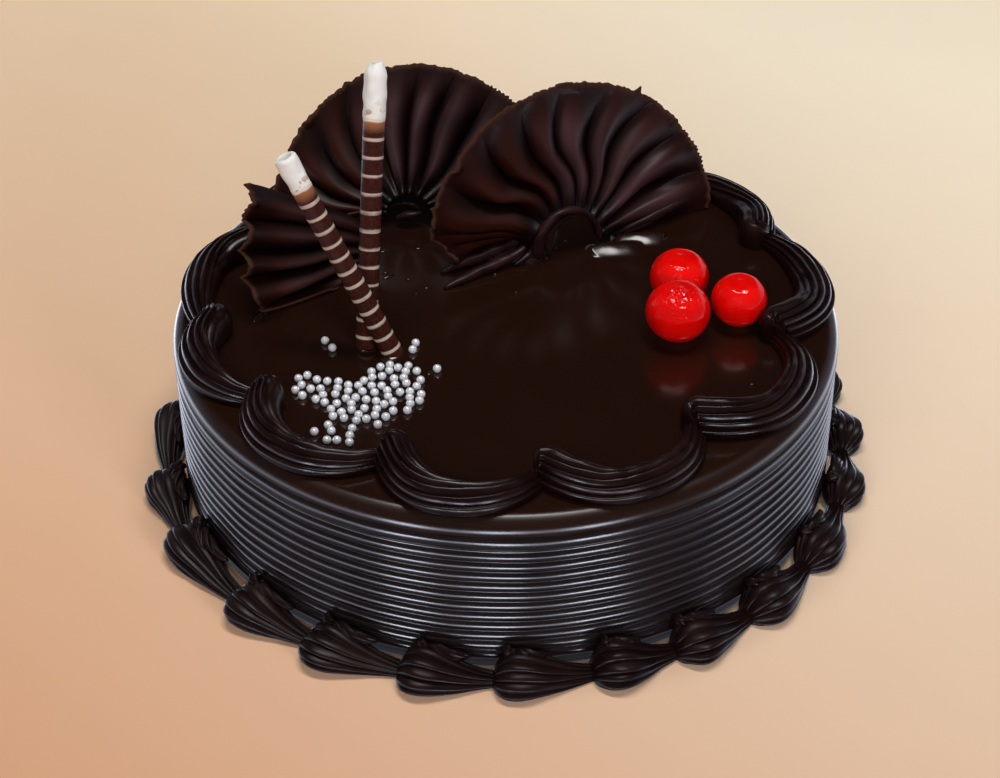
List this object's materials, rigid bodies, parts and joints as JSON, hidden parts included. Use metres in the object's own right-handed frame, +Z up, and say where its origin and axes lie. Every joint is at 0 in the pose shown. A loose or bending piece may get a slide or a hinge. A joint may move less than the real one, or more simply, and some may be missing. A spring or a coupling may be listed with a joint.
{
  "type": "chocolate cake",
  "caption": "Round chocolate cake with a mirror glaze, combed side, piped scalloped top and base borders, pleated chocolate fans, wafer sticks, cherries and silver pearls.",
  "frame": {"origin": "centre of the cake's flat base, where it rests", "axes": "+Z up, -Y the front that the picture looks at, +X to the right seen from the front"},
  "size_m": [0.2285, 0.2317, 0.139],
  "materials": {
    "coating": "satin dark chocolate coating, combed",
    "glaze": "mirror-gloss very dark chocolate glaze",
    "piping": "glossy dark chocolate ganache, piped",
    "chocolate": "satin thin-shaved dark chocolate",
    "wafer": "rolled chocolate with thin cream bands and white tips",
    "cherry": "glossy translucent bright red glace fruit"
  },
  "bodies": {
    "root": {"cake": "coating", "glaze": "glaze", "border_01": "piping", "border_02": "piping", "border_03": "piping", "border_04": "piping", "border_05": "piping", "border_06": "piping", "border_07": "piping", "border_08": "piping", "border_09": "piping", "border_10": "piping", "border_11": "piping", "shell_01": "piping", "shell_02": "piping", "shell_03": "piping", "shell_04": "piping", "shell_05": "piping", "shell_06": "piping", "shell_07": "piping", "shell_08": "piping", "shell_09": "piping", "shell_10": "piping", "shell_11": "piping", "shell_12": "piping", "shell_13": "piping", "shell_14": "piping", "shell_15": "piping", "shell_16": "piping", "shell_17": "piping", "shell_18": "piping", "shell_19": "piping", "shell_20": "piping", "shell_21": "piping", "shell_22": "piping", "shell_23": "piping", "fan_right": "chocolate", "fan_back": "chocolate", "fan_left": "chocolate", "stick_rear": "wafer", "stick_front": "wafer", "cherry_back": "cherry", "cherry_front": "cherry", "cherry_right": "cherry"}
  },
  "joints": []
}
